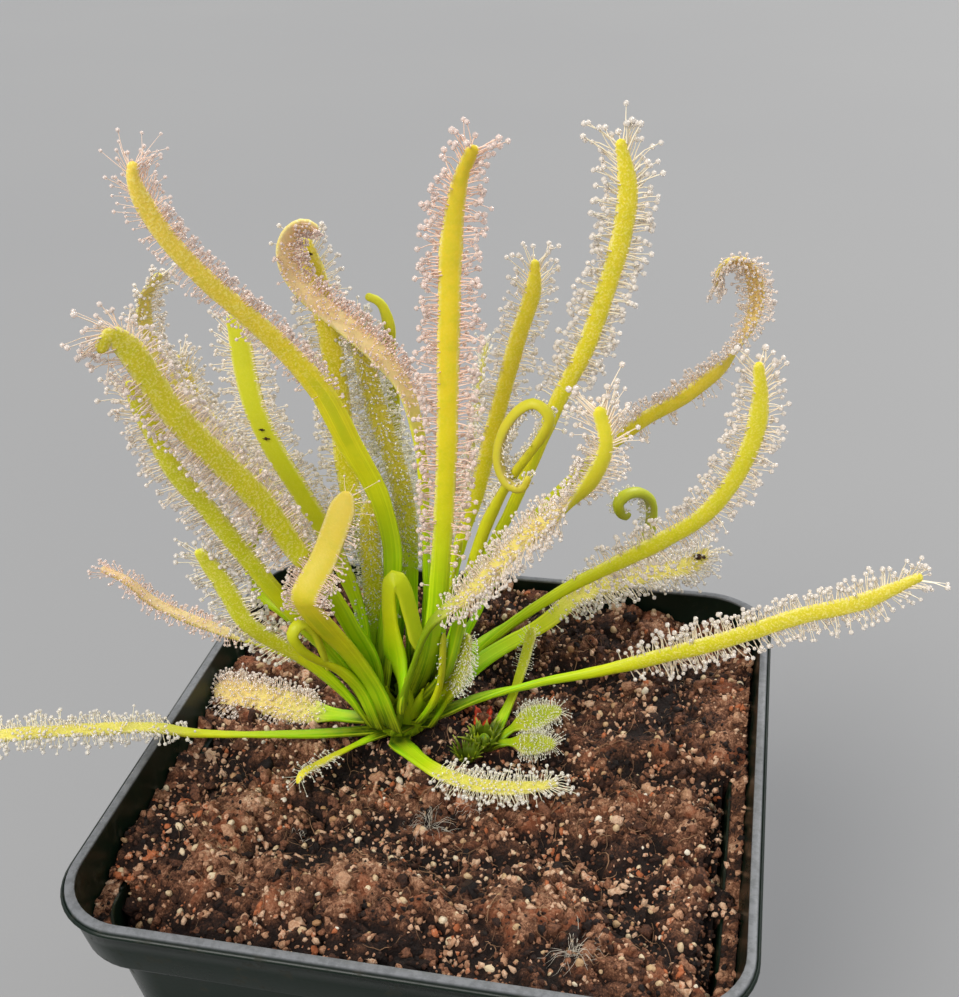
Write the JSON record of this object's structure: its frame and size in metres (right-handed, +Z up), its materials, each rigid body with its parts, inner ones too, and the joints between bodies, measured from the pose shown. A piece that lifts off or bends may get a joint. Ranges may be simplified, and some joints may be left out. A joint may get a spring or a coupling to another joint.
{
  "type": "potted sundew plant",
  "caption": "Carnivorous sundew with a rosette of upright and sprawling strap leaves, some hooked or looped, growing in peat in a tapered square nursery pot with a banded rim.",
  "frame": {"origin": "centre of the pot's flat underside, where the pot stands", "axes": "+Z up out of the pot; X and Y along the pot's square sides, with -Y the side the picture looks in over and +X its right"},
  "size_m": [0.1329, 0.0991, 0.1753],
  "materials": {
    "pot_plastic": "satin",
    "peat_soil": "matte",
    "crown_green": "satin",
    "leaf_lime": "satin"
  },
  "bodies": {
    "root": {"bud_hairpin_front": "leaf_lime", "bud_hairpin_left": "leaf_lime", "bud_short": "leaf_lime", "bud_straight": "leaf_lime", "crown": "crown_green", "leaf_back": "leaf_lime", "leaf_back_left": "leaf_lime", "leaf_behind_tallest": "leaf_lime", "leaf_broad_left": "leaf_lime", "leaf_coiled_back": "leaf_lime", "leaf_curled_left": "leaf_lime", "leaf_front_right": "leaf_lime", "leaf_hooked_back": "leaf_lime", "leaf_hooked_right": "leaf_lime", "leaf_inner": "leaf_lime", "leaf_kinked_front": "leaf_lime", "leaf_long_left": "leaf_lime", "leaf_long_right": "leaf_lime", "leaf_looped": "leaf_lime", "leaf_low_left": "leaf_lime", "leaf_low_right": "leaf_lime", "leaf_mid_right": "leaf_lime", "leaf_on_soil_front": "leaf_lime", "leaf_on_soil_left": "leaf_lime", "leaf_outer_left": "leaf_lime", "leaf_rear_fuzzy": "leaf_lime", "leaf_rear_left": "leaf_lime", "leaf_s_right": "leaf_lime", "leaf_side_left": "leaf_lime", "leaf_small_fuzzy": "leaf_lime", "leaf_tall_left": "leaf_lime", "leaf_tall_right": "leaf_lime", "leaf_tallest": "leaf_lime", "leaf_thin_left": "leaf_lime", "leaf_tiny_left": "leaf_lime", "plantlet_crown": "crown_green", "plantlet_leaf_front": "leaf_lime", "plantlet_leaf_right": "leaf_lime", "plantlet_leaf_tall": "leaf_lime", "pot": "pot_plastic", "soil": "peat_soil"}
  },
  "joints": []
}
